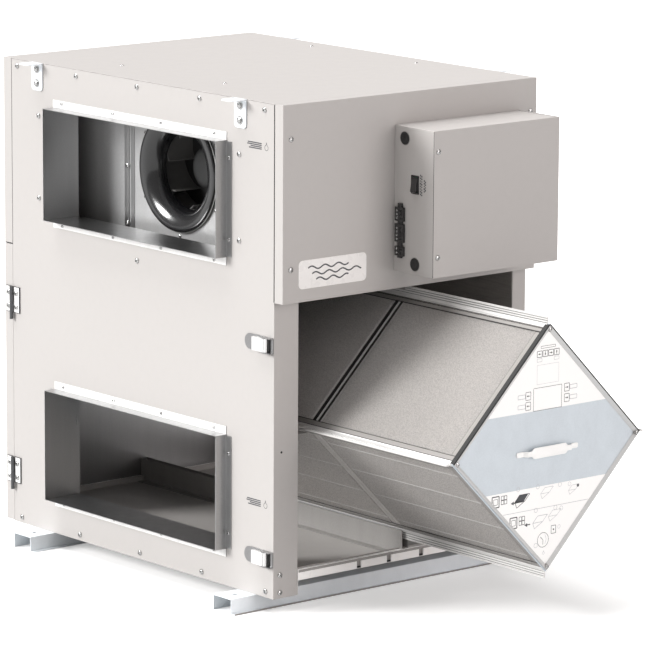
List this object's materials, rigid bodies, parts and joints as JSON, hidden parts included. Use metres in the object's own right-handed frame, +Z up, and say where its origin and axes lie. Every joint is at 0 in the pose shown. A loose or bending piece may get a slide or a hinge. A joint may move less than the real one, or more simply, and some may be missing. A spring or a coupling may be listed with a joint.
{
  "type": "heat recovery unit",
  "caption": "Cabinet heat recovery ventilator with rectangular duct collars, plenum fans, a side-mounted control box and a diamond cross-flow core that slides out of the service side.",
  "frame": {"origin": "centre of the cabinet underside, on the web of the base stiffener, with the foot rails reaching 37 mm below it", "axes": "+X along the service side from the left end to the right end, -Y out of the service side where the core comes out, +Z up"},
  "size_m": [0.918, 1.5356, 1.187],
  "materials": {
    "painted_sheet": "satin",
    "galvanised_sheet": "satin",
    "pan_sheet": "satin",
    "zinc_fittings": "satin",
    "polished_lever": "satin",
    "core_aluminium": "satin",
    "white_plastic": "satin",
    "black_plastic": "gloss",
    "circuit_board": "matte",
    "motor_casting": "satin"
  },
  "bodies": {
    "cabinet": {"base_pan": "painted_sheet", "control_box_body": "painted_sheet", "controller_board": "circuit_board", "core_bottom_rail": "galvanised_sheet", "deck_panel": "galvanised_sheet", "drain_pan": "pan_sheet", "duct_collar_lower_left": "galvanised_sheet", "duct_collar_lower_right": "galvanised_sheet", "duct_collar_upper_left": "galvanised_sheet", "duct_collar_upper_right": "galvanised_sheet", "end_liner_left": "galvanised_sheet", "end_liner_right": "galvanised_sheet", "end_panel_left": "painted_sheet", "end_panel_right": "painted_sheet", "fan_bulkhead_left": "galvanised_sheet", "fan_bulkhead_right": "galvanised_sheet", "fan_divider": "galvanised_sheet", "fan_motor_left": "motor_casting", "fan_motor_right": "motor_casting", "field_connector": "black_plastic", "front_hinge_frame_lower": "zinc_fittings", "front_hinge_frame_upper": "zinc_fittings", "front_latch_plate_lower": "zinc_fittings", "front_latch_plate_upper": "zinc_fittings", "front_upper_panel": "painted_sheet", "hanging_bracket_left_front": "galvanised_sheet", "hanging_bracket_left_rear": "galvanised_sheet", "hanging_bracket_right_front": "galvanised_sheet", "hanging_bracket_right_rear": "galvanised_sheet", "inlet_ring_left": "black_plastic", "inlet_ring_right": "black_plastic", "rear_hinge_frame_lower": "zinc_fittings", "rear_hinge_frame_upper": "zinc_fittings", "rear_latch_plate_lower": "zinc_fittings", "rear_latch_plate_upper": "zinc_fittings", "rear_upper_panel": "painted_sheet", "roof_panel": "painted_sheet", "support_rail_front": "galvanised_sheet", "support_rail_rear": "galvanised_sheet"},
    "core": {"core_block_front": "core_aluminium", "core_block_rear": "core_aluminium", "core_end_plate_front": "galvanised_sheet", "core_end_plate_rear": "galvanised_sheet", "core_profile_top": "core_aluminium", "core_profile_right": "core_aluminium", "core_profile_bottom": "core_aluminium", "core_profile_left": "core_aluminium", "core_handle": "white_plastic"},
    "rear_door": {"rear_door_skin": "painted_sheet", "rear_door_liner": "galvanised_sheet", "rear_hinge_door_lower": "zinc_fittings", "rear_hinge_door_upper": "zinc_fittings"},
    "front_latch_upper": {"front_latch_lever_upper": "polished_lever"},
    "front_latch_lower": {"front_latch_lever_lower": "polished_lever"},
    "rear_latch_upper": {"rear_latch_lever_upper": "polished_lever"},
    "rear_latch_lower": {"rear_latch_lever_lower": "polished_lever"},
    "fan_left": {"fan_impeller_left": "black_plastic"},
    "fan_right": {"fan_impeller_right": "black_plastic"},
    "control_cover": {"control_box_cover": "painted_sheet"},
    "power_switch": {"switch_rocker": "black_plastic"}
  },
  "joints": [
    {"name": "core_slide", "type": "slide", "parent": "cabinet", "child": "core", "axis": [0, -1, 0], "range_m": [-0.492, 0.504]},
    {"name": "rear_door_hinge", "type": "hinge", "parent": "cabinet", "child": "rear_door", "pos_m": [-0.393, 0.501, 0.35], "axis": [0, 0, 1], "range_deg": [0, 110]},
    {"name": "front_latch_upper_pivot", "type": "hinge", "parent": "cabinet", "child": "front_latch_upper", "pos_m": [-0.395, -0.485, 0.594], "axis": [0, 0, 1], "range_deg": [0, 120]},
    {"name": "front_latch_lower_pivot", "type": "hinge", "parent": "cabinet", "child": "front_latch_lower", "pos_m": [-0.395, -0.485, 0.093], "axis": [0, 0, 1], "range_deg": [0, 120]},
    {"name": "rear_latch_upper_pivot", "type": "hinge", "parent": "cabinet", "child": "rear_latch_upper", "pos_m": [0.395, 0.483, 0.594], "axis": [0, 0, 1], "range_deg": [0, 120]},
    {"name": "rear_latch_lower_pivot", "type": "hinge", "parent": "cabinet", "child": "rear_latch_lower", "pos_m": [0.395, 0.483, 0.093], "axis": [0, 0, 1], "range_deg": [0, 120]},
    {"name": "fan_left_spin", "type": "hinge", "parent": "cabinet", "child": "fan_left", "pos_m": [0.015, 0, 0.922], "axis": [1, 0, 0], "continuous": true},
    {"name": "fan_right_spin", "type": "hinge", "parent": "cabinet", "child": "fan_right", "pos_m": [0.015, 0, 0.922], "axis": [1, 0, 0], "continuous": true},
    {"name": "control_cover_hinge", "type": "hinge", "parent": "cabinet", "child": "control_cover", "pos_m": [0.336, -0.5413, 0.907], "axis": [0, 0, 1], "range_deg": [0, 90]},
    {"name": "power_switch_rock", "type": "hinge", "parent": "cabinet", "child": "power_switch", "pos_m": [-0.054, -0.6075, 0.9465], "axis": [0, -1, 0], "range_deg": [0, 20]}
  ]
}
